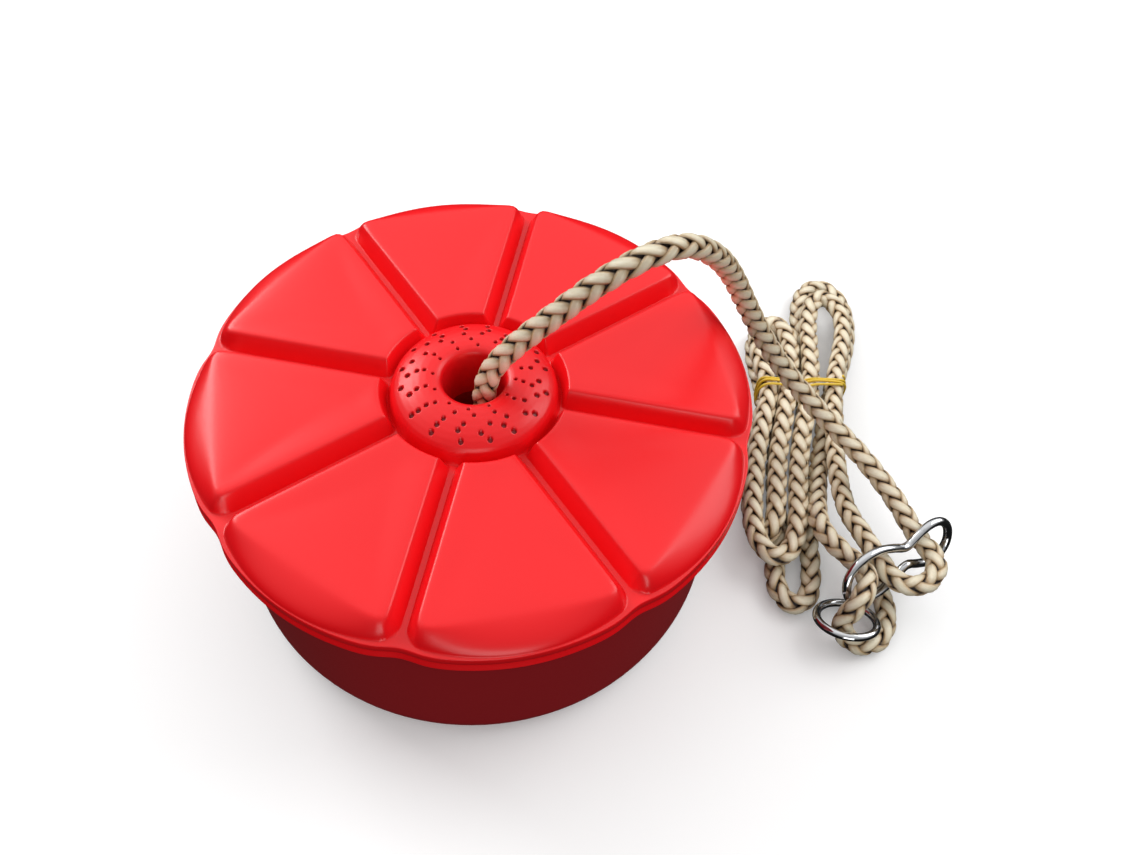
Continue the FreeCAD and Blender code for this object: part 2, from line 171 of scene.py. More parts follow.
def moulded_plastic(name, colour, worn_colour, roughness, gloss=0.5):
    """Moulded plastic: glossy, faintly cloudy and scuffed, and darkened inside the dome's dimples as
    painted shade.
    """
    material, tree, shader = new_material(name)
    place = object_coordinates(tree)
    cloud = remap(tree, noise(tree, place, 14, 2), 0.35, 0.7, 0, 0.5)
    body = mix_colours(tree, cloud, colour, tuple(c * 0.94 for c in colour))
    scratches = noise(tree, object_coordinates(tree, (40, 420, 120)), 3, 5, 0.6)
    worn = mix_colours(tree, remap(tree, scratches, 0.66, 0.85, 0, 0.22), body, worn_colour)
    # Painted shade: the dimples that the dome's mesh marks are darkened to a third of the colour.
    dimple_shade_mask = tree.nodes.new("ShaderNodeAttribute")
    dimple_shade_mask.attribute_name = "dimple_shade_mask"
    painted_dimple_shade_colour = tuple(c * 0.3 for c in colour)
    tree.links.new(mix_colours(tree, dimple_shade_mask.outputs["Fac"], worn, painted_dimple_shade_colour), shader.inputs["Base Color"])
    grain = noise(tree, place, 900, 3)
    uneven = remap(tree, grain, 0.3, 0.7, roughness - 0.02, roughness + 0.03)
    tree.links.new(uneven, shader.inputs["Roughness"])
    add_bump(tree, shader, [(grain, 0.00002, 0.25)])
    shader.inputs["Specular IOR Level"].default_value = gloss
    return material


def rope_yarn():
    """Shiny twisted yarn: fine filaments along each strand, a painted pale highlight on the top of each
    strand and painted near-black shade in the creases.
    """
    material, tree, shader = new_material("rope_yarn")
    uv = tree.nodes.new("ShaderNodeUVMap")
    uv.uv_map = "strand"
    filament_map = add_node(tree, "ShaderNodeMapping", Scale=(60, 7, 1))
    tree.links.new(uv.outputs["UV"], filament_map.inputs["Vector"])
    filament = noise(tree, filament_map.outputs["Vector"], 1.0, 4, 0.6)
    thread = remap(tree, filament, 0.3, 0.7, 0, 1)
    depth = tree.nodes.new("ShaderNodeAttribute")
    depth.attribute_name = "crown_light_and_shade"
    crown_light_and_shade = depth.outputs["Fac"]
    stains = remap(tree, noise(tree, object_coordinates(tree), 45, 3), 0.45, 0.75, 0, 0.4)
    tan = mix_colours(tree, thread, (0.36, 0.22, 0.10), (0.70, 0.51, 0.28))
    stained = mix_colours(tree, stains, tan, (0.34, 0.17, 0.07))
    # Painted highlight: the tops of the strands turn pale yellow-white.
    painted_highlight_cream = mix_colours(tree, thread, (0.82, 0.69, 0.45), (1.0, 0.95, 0.78))
    with_painted_highlight = mix_colours(tree, remap(tree, crown_light_and_shade, 0.55, 0.95, 0, 1), stained, painted_highlight_cream)
    # Painted shade: the creases between the strands turn near-black.
    out_of_painted_crease_shade = remap(tree, crown_light_and_shade, 0.15, 0.55, 0, 1)
    fibre_with_painted_light = mix_colours(tree, out_of_painted_crease_shade, (0.02, 0.008, 0.004), with_painted_highlight)
    tree.links.new(fibre_with_painted_light, shader.inputs["Base Color"])
    tree.links.new(remap(tree, filament, 0.3, 0.7, 0.36, 0.2), shader.inputs["Roughness"])
    shader.inputs["Specular IOR Level"].default_value = 0.9
    add_bump(tree, shader, [(filament, 0.0005, 0.6)])
    return material


def painted_shade_rope_core():
    """The rope's inside, near-black as painted shade where it shows between its strands."""
    material, tree, shader = new_material("painted_shade_rope_core")
    shade = noise(tree, object_coordinates(tree), 600, 3)
    # Painted shade: the core's near-black stands for the shadow between the strands.
    painted_shade_brown = mix_colours(tree, shade, (0.02, 0.012, 0.008), (0.06, 0.035, 0.02))
    tree.links.new(painted_shade_brown, shader.inputs["Base Color"])
    shader.inputs["Roughness"].default_value = 0.9
    add_bump(tree, shader, [(shade, 0.0004, 0.6)])
    return material


def polished_metal(name, colour, roughness):
    """Plated wire: bright, with a faint drawn grain and a few darker patches that are painted dark
    reflections.
    """
    material, tree, shader = new_material(name)
    grain = noise(tree, object_coordinates(tree, (300, 300, 900)), 3, 4)
    # Painted reflection: noisy patches at about half the brightness stand in for dark surroundings seen in
    # the plating.
    dark_patches = remap(tree, noise(tree, object_coordinates(tree), 160, 5, 0.65), 0.58, 0.75, 0, 0.6)
    painted_dark_reflection = tuple(c * 0.55 for c in colour)
    tree.links.new(mix_colours(tree, dark_patches, colour, painted_dark_reflection), shader.inputs["Base Color"])
    drawn = remap(tree, grain, 0.3, 0.7, roughness * 0.7, roughness * 1.6)
    tree.links.new(drawn, shader.inputs["Roughness"])
    shader.inputs["Metallic"].default_value = 1
    add_bump(tree, shader, [(grain, 0.00005, 0.3)])
    return material


def pale_floor():
    """A matt floor that glows a little, so that it comes out as white as the backdrop."""
    material, tree, shader = new_material("pale_floor")
    shade = noise(tree, object_coordinates(tree), 2.0, 2)
    white = mix_colours(tree, shade, (0.88, 0.88, 0.88), (0.93, 0.93, 0.93))
    tree.links.new(white, shader.inputs["Base Color"])
    shader.inputs["Roughness"].default_value = 0.9
    shader.inputs["Emission Color"].default_value = (1, 1, 1, 1)
    shader.inputs["Emission Strength"].default_value = 0.16
    return material


# ---------------------------------------------------------------- mesh helpers
LINE_RESOLUTION = 16


def new_mesh(name, points, faces, materials):
    """A smooth-shaded piece in the scene, made of points and faces."""
    mesh = bpy.data.meshes.new(name)
    mesh.from_pydata(np.array(points).tolist(), [], faces)
    for material in materials:
        mesh.materials.append(material)
    mesh.polygons.foreach_set("use_smooth", [True] * len(mesh.polygons))
    piece = bpy.data.objects.new(name, mesh)
    bpy.context.scene.collection.objects.link(piece)
    return piece


def grid_faces(rows, columns, close_columns=False, start=0):
    """Quads over a grid of points stored row by row."""
    faces = []
    across = columns if close_columns else columns - 1
    for i in range(rows - 1):
        for j in range(across):
            k = (j + 1) % columns
            faces.append((start + i * columns + j, start + i * columns + k,
                          start + (i + 1) * columns + k, start + (i + 1) * columns + j))
    return faces


def resample(points, step):
    """Points evenly spaced along a polyline."""
    points = np.array(points, float)
    lengths = np.concatenate([[0], np.cumsum(np.linalg.norm(np.diff(points, axis=0), axis=1))])
    count = max(2, int(round(lengths[-1] / step)))
    places = np.linspace(0, lengths[-1], count + 1)
    return np.stack([np.interp(places, lengths, points[:, k]) for k in range(3)], 1)


def nurbs_points(route, cyclic=False):
    """The smooth line that a route of control points in millimetres makes, in metres."""
    curve = bpy.data.curves.new("route", "CURVE")
    curve.dimensions = "3D"
    spline = curve.splines.new("NURBS")
    spline.points.add(len(route) - 1)
    for point, place in zip(spline.points, route):
        point.co = (*(c * MM for c in place), 1)
    spline.order_u = 3
    spline.use_cyclic_u = cyclic
    spline.use_endpoint_u = not cyclic
    spline.resolution_u = LINE_RESOLUTION
    holder = bpy.data.objects.new("route", curve)
    line = bpy.data.meshes.new_from_object(holder)
    points = np.array([v.co[:] for v in line.vertices])
    bpy.data.meshes.remove(line)
    bpy.data.objects.remove(holder)
    bpy.data.curves.remove(curve)
    return points


def tangents(points, cyclic=False):
    """The direction of a line at each of its points."""
    if cyclic:
        along = np.roll(points, -1, 0) - np.roll(points, 1, 0)
    else:
        along = np.gradient(points, axis=0)
    return along / np.linalg.norm(along, axis=1)[:, None]


def frames(points, cyclic=False):
    """The direction of a line and two directions across it at each point, carried without twist."""
    along = tangents(points, cyclic)
    side = np.empty_like(points)
    current = np.array((1.0, 0.0, 0.0))
    for i, direction in enumerate(along):
        current = current - direction * current.dot(direction)
        current /= np.linalg.norm(current)
        side[i] = current
    return along, side, np.cross(along, side)


def tube_mesh(name, points, radius, material, cyclic=False, around=16):
    """A round wire along a line of points, closed on itself or capped at its ends."""
    along, side, up = frames(points, cyclic=cyclic)
    if cyclic:
        # The carried frame comes back turned, so the turn is spread over the whole line.
        closing = side[-1] - along[0] * side[-1].dot(along[0])
        turn = math.atan2(closing.dot(up[0]), closing.dot(side[0]))
        shift = -turn * np.arange(len(points)) / len(points)
    else:
        shift = np.zeros(len(points))
    angles = np.linspace(0, 2 * math.pi, around, endpoint=False)
    turned = angles[None, :] + shift[:, None]
    ring = np.cos(turned)[..., None] * side[:, None] + np.sin(turned)[..., None] * up[:, None]
    verts = (points[:, None] + ring * radius).reshape(-1, 3)
    rows = len(points)
    faces = grid_faces(rows, around, close_columns=True)
    if cyclic:
        last = (rows - 1) * around
        faces += [(last + j, last + (j + 1) % around, (j + 1) % around, j) for j in range(around)]
    else:
        faces.append(tuple(range(around))[::-1])
        faces.append(tuple(range((rows - 1) * around, rows * around)))
    return new_mesh(name, verts, faces, [material])


# ---------------------------------------------------------------- braided rope
BRAID_PITCH = 47 * MM
BRAID_RADIUS = 3.45 * MM
BRAID_STEP = 1.75 * MM
CARRIERS = 4
# A strand swings in and out as it passes under and over, and is wider where it is out.
BRAID_SWING = 1.1 * MM
SWING_REACH = 1.15
SWING_SOFTNESS = 0.32
STRAND_HALF_WIDTH = 2.95 * MM
STRAND_HALF_HEIGHT = 1.55 * MM
STRAND_PINCH = 0.12
STRAND_SIDES = 8
CORE_RADIUS = 2.4 * MM
CORE_SIDES = 6
# Where a strand lies in the yarn's pattern: lengths of it to the metre, and the shift to the next strand.
YARN_PER_METRE = 10
YARN_SHIFT = 3.1


def braid(name, points, materials, start_phase=0.0):
    """Eight strands, four each way, each passing over two and under two of the others."""
    along, side, up = frames(points)
    steps = np.linalg.norm(np.diff(points, axis=0), axis=1)
    travel = np.concatenate([[0], np.cumsum(steps)]) + start_phase
    verts = []
    faces = []
    uvs = []
    crown_light_and_shade = []
    slots = []
    count = len(points)
    around = np.linspace(0, 2 * math.pi, STRAND_SIDES, endpoint=False)
    rise = np.cos(around) * STRAND_HALF_HEIGHT
    for way in (1, -1):
        for carrier in range(CARRIERS):
            angle = way * 2 * math.pi * travel / BRAID_PITCH + carrier * 2 * math.pi / CARRIERS
            crossing = (2 - way) * math.pi / 4 - carrier * math.pi
            wave = np.cos(4 * math.pi * travel / BRAID_PITCH - crossing)
            lift = SWING_REACH * wave / np.sqrt(wave ** 2 + SWING_SOFTNESS)
            radius = BRAID_RADIUS + BRAID_SWING * lift
            outward = np.cos(angle)[:, None] * side + np.sin(angle)[:, None] * up
            centre = points + outward * radius[:, None]
            heading = tangents(centre)
            outward = outward - heading * (outward * heading).sum(1)[:, None]
            outward /= np.linalg.norm(outward, axis=1)[:, None]
            across = np.cross(heading, outward)
            width = STRAND_HALF_WIDTH * (1 - STRAND_PINCH + STRAND_PINCH * lift)
            ring = (outward[:, None] * rise[None, :, None]
                    + across[:, None] * (np.sin(around)[None, :] * width[:, None])[..., None])
            start = sum(len(v) for v in verts)
            verts.append((centre[:, None] + ring).reshape(-1, 3))
            faces += grid_faces(count, STRAND_SIDES, close_columns=True, start=start)
            slots += [0] * ((count - 1) * STRAND_SIDES)
            # How high each point stands on its strand; the yarn's painted highlight and painted crease
            # shade are drawn from it.
            above = (radius[:, None] + rise[None] - BRAID_RADIUS) / (BRAID_SWING + STRAND_HALF_HEIGHT)
            crown_light_and_shade.append(np.clip(above, 0, 1).reshape(-1))
            strand_uv = np.empty((count, STRAND_SIDES, 2))
            strand_uv[..., 0] = (travel * YARN_PER_METRE + carrier * YARN_SHIFT + way)[:, None]
            strand_uv[..., 1] = np.arange(STRAND_SIDES)[None]
            uvs.append(strand_uv.reshape(-1, 2))
    # A thin core under the strands, whose near-black material is painted shade.
    start = sum(len(v) for v in verts)
    around = np.linspace(0, 2 * math.pi, CORE_SIDES, endpoint=False)[None, :, None]
    ring = np.cos(around) * side[:, None] + np.sin(around) * up[:, None]
    verts.append((points[:, None] + ring * CORE_RADIUS).reshape(-1, 3))
    faces += grid_faces(count, CORE_SIDES, close_columns=True, start=start)
    slots += [1] * ((count - 1) * CORE_SIDES)
    crown_light_and_shade.append(np.zeros(count * CORE_SIDES))
    uvs.append(np.zeros((count * CORE_SIDES, 2)))
    piece = new_mesh(name, np.concatenate(verts), faces, materials)
    mesh = piece.data
    mesh.polygons.foreach_set("material_index", slots)
    attribute = mesh.attributes.new("crown_light_and_shade", "FLOAT", "POINT")
    attribute.data.foreach_set("value", np.concatenate(crown_light_and_shade))
    layer = mesh.uv_layers.new(name="strand")
    corners = np.empty(len(mesh.loops), dtype=np.int64)
    mesh.loops.foreach_get("vertex_index", corners)
    layer.data.foreach_set("uv", np.concatenate(uvs)[corners].reshape(-1))
    return piece


def make_rope(materials):
    """The whole rope outside the hub, and the line it follows."""
    line = resample(nurbs_points(ROPE_ROUTE), BRAID_STEP)
    rope = braid("braided_rope", line, materials)
    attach(rope, "rope")
    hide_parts("rope_lead", "right_hank", "left_hank", "rope_eye")
    return rope, line


def make_rope_in_seat(materials):
    """The straight rope inside the bore, whose strands run on into the rope outside."""
    ends = np.array(ROPE_IN_SEAT) * MM
    line = resample(ends, BRAID_STEP)
    length = np.linalg.norm(ends[1] - ends[0])
    inner = braid("rope_in_bore", line, materials, start_phase=-length)
    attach(inner, "rope")
    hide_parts("rope_in_seat")


# The knot's sizes in millimetres, and how closely its two wraps are stepped.
KNOT_WRAP_RADIUS = 11.6
KNOT_TOP = 24.0
KNOT_BOTTOM = 10.5
KNOT_POINTS = 90
KNOT_POINT_STEP = 6
KNOT_TAIL = [(9.5, 7.0, 8.6), (5.0, 10.5, 7.6), (-3.0, 11.5, 7.2), (-9.0, 8.5, 7.0)]


def make_stopper_knot(materials):
    """Two wraps of the rope round itself, with the short tail that hangs out of them."""
    angles = np.linspace(0, 4 * math.pi, KNOT_POINTS)
    heights = np.linspace(KNOT_TOP, KNOT_BOTTOM, KNOT_POINTS)
    wraps = np.stack([KNOT_WRAP_RADIUS * np.cos(angles), KNOT_WRAP_RADIUS * np.sin(angles), heights], 1)
    route = [tuple(p) for p in wraps[::KNOT_POINT_STEP]] + KNOT_TAIL
    line = resample(nurbs_points(route), BRAID_STEP)
    knot = braid("tied_stopper_knot", line, materials)
    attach(knot, "rope")
    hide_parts("stopper_knot")


# ---------------------------------------------------------------- seat
RIM_WIDTH_SOFTNESS = 3 * MM
NOTCH_DEPTH = 2.2 * MM
NOTCH_HALF_TURN = math.radians(4.2)
WAVE_DEPTH = 1.0 * MM
DISH_DEPTH = 0.8 * MM
# In shoulder widths, as seat_height measures: how far a petal's corners and its dish spread.
SIDE_CORNER = 0.9
RIM_CORNER = 1.8
RIM_BLEND = 1.2
DISH_SPAN = 4
# How much fuller the outer wall is than the side walls, and how round the edge of the top is.
RIM_BULGE = 0.4
TOP_ROUNDING = 0.14


def from_groove(angle):
    """Turn from the middle line of the nearest groove."""
    return (angle - GROOVE_PHASE + SECTOR / 2) % SECTOR - SECTOR / 2


def petal_edge_radius(angle):
    """Radius of a petal's outer edge: an arc that bulges beyond the ends of the grooves."""
    from_middle = SECTOR / 2 - np.abs(from_groove(angle))
    centre = PETAL_REACH - PETAL_ARC
    return centre * np.cos(from_middle) + np.sqrt(PETAL_ARC ** 2 - (centre * np.sin(from_middle)) ** 2)


def smooth_step(value):
    """Climbs from 0 to 1 as the value does, and is level at both ends."""
    value = np.clip(value, 0, 1)
    return value * value * (3 - 2 * value)


def rim_width(angle):
    """Width of a petal's sloping outer wall: the ridge above it runs straight from groove to groove."""
    from_middle = SECTOR / 2 - np.abs(from_groove(angle))
    width = petal_edge_radius(angle) - RIDGE_DISTANCE / np.cos(from_middle)
    apart = np.hypot(width - SIDE_SHOULDER, RIM_WIDTH_SOFTNESS)
    return (width + SIDE_SHOULDER + apart) / 2


def flange_radius(angle):
    """The rim's plan: nearly round, drawn in a little at the end of each groove."""
    turn = from_groove(angle)
    notch = np.exp(-(turn / NOTCH_HALF_TURN) ** 2)
    wave = 0.5 + 0.5 * np.cos(PETALS * turn)
    return FLANGE_RADIUS - NOTCH_DEPTH * notch - WAVE_DEPTH * wave


def rounded_corner(first, second, corner):
    """The lesser of two distances, with the corner where they meet rounded off."""
    near = np.hypot(np.clip(corner - first, 0, None), np.clip(corner - second, 0, None))
    return np.where((first < corner) & (second < corner), corner - near, np.minimum(first, second))


def seat_height(radius, angle):
    """Height of the seat's top outside the dome, from how far in from its edges a petal's point is."""
    side = (radius * np.abs(np.sin(from_groove(angle))) - GROOVE_HALF) / SIDE_SHOULDER
    hub = (radius - PETAL_HUB) / HUB_SHOULDER
    rim = (petal_edge_radius(angle) - radius) / rim_width(angle)
    beside = rounded_corner(side, hub, SIDE_CORNER)
    inside = np.clip(rounded_corner(beside, rim, RIM_CORNER), 0, None)
    rim_share = np.clip((beside - rim) / RIM_BLEND + 0.5, 0, 1)
    climb = inside ** (1 - RIM_BULGE * rim_share)
    level = np.clip((climb + 1 - np.hypot(climb - 1, TOP_ROUNDING)) / 2, 0, 1)
    return FLANGE_TOP + PETAL_HEIGHT * level - DISH_DEPTH * smooth_step((inside - 1) / DISH_SPAN)


# Where the grid's lines run: millimetres from a groove's middle and from the petals' inner ends, shares
# of the rim's width in from a petal's edge, and shares of the way from there to the flange's edge. They
# crowd where the surface bends.
SIDE_STEPS = [0, 0.7, 1.15, 1.3, 1.45, 1.9, 2.8, 3.8, 4.7, 5.3, 5.7, 6.1, 6.5, 7.1, 8.5, 11]
HUB_STEPS = [-1.2, -0.5, -0.1, 0.0, 0.1, 0.35, 0.9, 1.6, 2.3, 2.8, 3.2, 3.6, 4.2, 5.5, 8, 12]
RIM_STEPS = [1.5, 1.25, 1.12, 1.05, 1.0, 0.95, 0.88, 0.78, 0.65, 0.5, 0.36, 0.24, 0.14, 0.06, 0.02, 0]
FLANGE_STEPS = [0.4, 0.8]
ACROSS_STEPS = 13
MIDDLE_STEPS = 14
SOLVING_ROUNDS = 6
# The band under the rim: millimetres out from the flange's edge and up from its top.
FLANGE_INSET = 0.4
RIM_BAND = [
    (-FLANGE_INSET, 0), (-0.15, -0.12), (0, -0.5), (0.1, -4.4), (-0.1, -4.7), (0.1, -5.0), (0.2, -8.6),
    (0.6, -9.1), (0.6, -9.6), (0.1, -10), (-3.2, -10), (-3.6, -6),
]


def seat_grid():
    """Radius and angle of every point of the top, on lines that follow the grooves and the edges."""
    side_steps = np.array(SIDE_STEPS) * MM
    offsets = np.concatenate([side_steps, np.full(ACROSS_STEPS, side_steps[-1])])
    share = np.concatenate([np.zeros(len(side_steps)), np.linspace(0, 1, ACROSS_STEPS + 1)[1:]])

    def turns_at(radius):
        base = np.arcsin(offsets / radius)
        return base + (SECTOR / 2 - base) * share

    def radii(kind, value, turn):
        angle = GROOVE_PHASE + turn
        edge = petal_edge_radius(angle)
        hub_end = PETAL_HUB + HUB_STEPS[-1] * MM
        rim_start = edge - RIM_STEPS[0] * rim_width(angle)
        if kind == "hub":
            return np.full_like(turn, PETAL_HUB + value * MM)
        if kind == "middle":
            return hub_end + (rim_start - hub_end) * value
        if kind == "rim":
            return edge - value * rim_width(angle)
        return edge + (flange_radius(angle) - FLANGE_INSET * MM - edge) * value

    rows = [("hub", v) for v in HUB_STEPS]
    rows += [("middle", v) for v in np.linspace(0, 1, MIDDLE_STEPS + 2)[1:-1]]
    rows += [("rim", v) for v in RIM_STEPS] + [("flange", v) for v in FLANGE_STEPS]
    all_radii = []
    all_angles = []
    for kind, value in rows:
        # A line's radius depends on its turn and the other way round, so they close in on each other.
        radius = np.full(len(offsets), (PETAL_HUB + PETAL_REACH) / 2)
        for _ in range(SOLVING_ROUNDS):
            turn = turns_at(radius)
            radius = radii(kind, value, turn)
        line_radii = np.concatenate([radius, radius[-2:0:-1]])
        line_turns = np.concatenate([turn, SECTOR - turn[-2:0:-1]])
        all_radii.append(np.tile(line_radii, PETALS))
        starts = GROOVE_PHASE + SECTOR * np.arange(PETALS)
        all_angles.append((starts[:, None] + line_turns[None]).reshape(-1))
    return np.array(all_radii), np.array(all_angles)


def make_seat_top(material):
    """The moulded top: petals, grooves and flange, and the rim's band that hangs from its edge."""
    radius, angle = seat_grid()
    rows = [np.stack([radius * np.cos(angle), radius * np.sin(angle), seat_height(radius, angle)], -1)]
    around = angle[-1]
    for outward, upward in RIM_BAND:
        edge = flange_radius(around) + outward * MM
        height = np.full_like(edge, FLANGE_TOP + upward * MM)
        rows.append(np.stack([edge * np.cos(around), edge * np.sin(around), height], -1)[None])
    points = np.concatenate(rows)
    faces = grid_faces(points.shape[0], points.shape[1], close_columns=True)
    return new_mesh("seat_petals", points.reshape(-1, 3), faces, [material])


# The dome's outline, as radius and height in millimetres, from inside the rope hole out to the flange.
DOME_PROFILE = [
    (15.5, 104), (15.5, 116), (15.5, 127), (15.5, 131.0), (15.7, 132.8), (16.4, 134.2), (17.8, 135.2),
    (20.0, 135.8), (23.0, 135.9), (26.5, 135.4), (30.0, 134.5), (33.5, 133.2), (36.5, 131.6),
    (38.9, 129.7), (40.4, 127.6), (41.3, 125.0), (41.9, 122.2), (42.4, 120.6), (43.2, 120.05),
]
# The point of that outline where the hole's wall ends, and the grid and smoothing of the dome.
DOME_LIP = 3
DOME_WALL_ROWS = 6
DOME_ROWS = 105
DOME_COLUMNS = 700
DOME_SMOOTHING = 3
# Rings of dimples: a ring's radius, how many it has and the radius of each, in millimetres.
DIMPLE_RINGS = [(20.0, 12, 0.95), (24.0, 14, 1.15), (28.2, 16, 1.35), (32.2, 18, 1.5), (36.0, 16, 1.55)]
DIMPLE_DEPTH = 1.7 * MM
DIMPLE_SEED = 11
# A dimple's wall as a share of its radius, the turn from ring to ring, and how far dimples stray.
DIMPLE_WALL = 0.4
RING_TWIST = 0.37
TURN_SCATTER = 0.03
REACH_SCATTER = 0.35


def dimple_places():
    """Place and radius of every dimple: in rings, each a little out of line."""
    random = np.random.default_rng(DIMPLE_SEED)
    places = []
    for ring, (radius, count, size) in enumerate(DIMPLE_RINGS):
        for i in range(count):
            angle = 2 * math.pi * i / count + RING_TWIST * ring + random.normal(0, TURN_SCATTER)
            reach = (radius + random.normal(0, REACH_SCATTER)) * MM
            places.append((reach * math.cos(angle), reach * math.sin(angle), size * MM))
    return places


def make_dome(material):
    """The dome round the rope hole, turned on a fine grid into which its dimples are pressed."""
    profile = np.array(DOME_PROFILE) * MM
    steps = np.concatenate([[0], np.cumsum(np.hypot(*np.diff(profile, axis=0).T))])
    lip = steps[DOME_LIP]
    wall = np.linspace(0, lip, DOME_WALL_ROWS, endpoint=False)
    places = np.concatenate([wall, np.linspace(lip, steps[-1], DOME_ROWS)])
    radius = np.interp(places, steps, profile[:, 0])
    height = np.interp(places, steps, profile[:, 1])
    for line in (radius, height):
        curved = line[DOME_WALL_ROWS:]
        for _ in range(DOME_SMOOTHING):
            curved[1:-1] = (curved[:-2] + 2 * curved[1:-1] + curved[2:]) / 4
    angles = np.linspace(0, 2 * math.pi, DOME_COLUMNS, endpoint=False)
    x = radius[:, None] * np.cos(angles)[None]
    y = radius[:, None] * np.sin(angles)[None]
    z = np.repeat(height[:, None], DOME_COLUMNS, axis=1)
    on_top = (np.arange(len(radius)) > DOME_WALL_ROWS + 2)[:, None]
    # How far each point lies inside a dimple, kept as the mask for the painted shade there.
    dimple_shade_mask = np.zeros_like(z)
    for dimple_x, dimple_y, size in dimple_places():
        away = np.hypot(x - dimple_x, y - dimple_y)
        press = np.where(on_top, smooth_step((size - away) / (DIMPLE_WALL * size)), 0)
        z -= press * DIMPLE_DEPTH
        dimple_shade_mask = np.maximum(dimple_shade_mask, press)
    points = np.stack([x, y, z], -1).reshape(-1, 3)
    faces = grid_faces(len(radius), DOME_COLUMNS, close_columns=True)
    dome = new_mesh("seat_dome", points, faces, [material])
    dome.data.attributes.new("dimple_shade_mask", "FLOAT", "POINT").data.foreach_set("value", dimple_shade_mask.reshape(-1))
    return dome


def make_seat(material):
    """The seat's top and its dome, which together stand for the upper moulding."""
    petals = make_seat_top(material)
    dome = make_dome(material)
    for piece in (petals, dome):
        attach(piece, "seat")
    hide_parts("upper_shell")


# ---------------------------------------------------------------- fittings
ADJUSTER_WIRE = 5 * MM
# In millimetres, the adjuster's middle and half of its outline, along and out from its long axis.
ADJUSTER_CENTRE = (241.5, -20.5, 30.5)
ADJUSTER_HEADING = math.radians(34)
ADJUSTER_LEAN = math.radians(65)
ADJUSTER_HALF = [
    (-43, 6), (-36, 14), (-22, 16), (-9, 11), (0, 5.5), (8, 10), (17, 13.5), (26, 12), (31.5, 5),
]
# The ties' wire, the way from one turn to the next and how far a turn wanders, in millimetres.
TIE_WIRE = 1.6
TIE_TURN_STEP = 2.6
TIE_WANDER = 0.8
# Their turns: how many, where they start and how they lean, wander and square off.
TIE_TURNS = 3
TIE_START = 0.3 * math.pi
TIE_LEAN_PHASE = 0.6
TIE_WANDER_RATE = 1.7
TIE_SQUARENESS = 0.55
TIE_SIDES = 8
TIE_POINTS = 72
TIE_POINT_STEP = 3
TIE_LINE_STEP = 1.2 * MM
# The rope's melted end: millimetres past the end of the braid, and the radius there.
SEAL_PROFILE = [
    (-4.5, 5.9), (-3.0, 6.25), (-0.5, 6.2), (1.0, 5.6), (2.0, 4.2), (2.5, 2.2), (2.6, 0.3),
]
SEAL_SIDES = 24
SEAL_LOBES = 5
SEAL_WOBBLE = 0.03


def make_adjuster(material):
    """The figure-eight of heavy wire, on the smooth line that its corners guide."""
    length_axis = Vector((math.cos(ADJUSTER_HEADING), math.sin(ADJUSTER_HEADING), 0))
    level = Vector((math.sin(ADJUSTER_HEADING), -math.cos(ADJUSTER_HEADING), 0))
    width_axis = level * math.cos(ADJUSTER_LEAN) - Vector((0, 0, 1)) * math.sin(ADJUSTER_LEAN)
    outline = ADJUSTER_HALF + [(s, -w) for s, w in reversed(ADJUSTER_HALF)]
    corners = [tuple(Vector(ADJUSTER_CENTRE) + length_axis * s + width_axis * w) for s, w in outline]
    line = nurbs_points(corners, cyclic=True)
    wire = tube_mesh("adjuster_wire", line, ADJUSTER_WIRE / 2, material, cyclic=True)
    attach(wire, "adjuster")
    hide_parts("figure_eight_adjuster")
    return wire


def make_tie(name, node, centre, half_width, half_height, skew, material):
    """Thin wire wound a few times round a hank, each turn lying a little askew."""
    steps = TIE_POINTS * TIE_TURNS
    angles = np.linspace(TIE_START, TIE_START + 2 * math.pi * TIE_TURNS, steps)
    across = np.sign(np.cos(angles)) * np.abs(np.cos(angles)) ** TIE_SQUARENESS * half_width
    upward = np.sign(np.sin(angles)) * np.abs(np.sin(angles)) ** TIE_SQUARENESS * half_height
    drift = (np.arange(steps) / steps - 0.5) * TIE_TURN_STEP * TIE_TURNS
    drift += skew * np.cos(angles + TIE_LEAN_PHASE) + TIE_WANDER * np.sin(TIE_WANDER_RATE * angles)
    route = np.stack([centre[0] + across, centre[1] + drift, centre[2] + upward], 1)
    line = resample(nurbs_points([tuple(p) for p in route[::TIE_POINT_STEP]]), TIE_LINE_STEP)
    tie = tube_mesh(name, line, TIE_WIRE * MM / 2, material, around=TIE_SIDES)
    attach(tie, "rope")
    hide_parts(node)
    return tie


def make_end_cap(line, material):
    """The melted, sealed end of the rope."""
    along, side, up = frames(line[-6:])
    angles = np.linspace(0, 2 * math.pi, SEAL_SIDES, endpoint=False)
    ring = np.cos(angles)[:, None] * side[-1] + np.sin(angles)[:, None] * up[-1]
    rows = []
    for step, radius in SEAL_PROFILE:
        wobble = 1 + SEAL_WOBBLE * np.sin(SEAL_LOBES * angles + step)
        rows.append(line[-1] + along[-1] * step * MM + ring * (radius * wobble * MM)[:, None])
    faces = grid_faces(len(rows), SEAL_SIDES, close_columns=True)
    cap = new_mesh("rope_end_seal", np.concatenate(rows), faces, [material])
    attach(cap, "rope")
    return cap


# ---------------------------------------------------------------- build
yarn = [rope_yarn(), painted_shade_rope_core()]
red = moulded_plastic("seat_red_plastic", (0.86, 0.006, 0.010), (0.90, 0.05, 0.05), 0.30, 0.42)
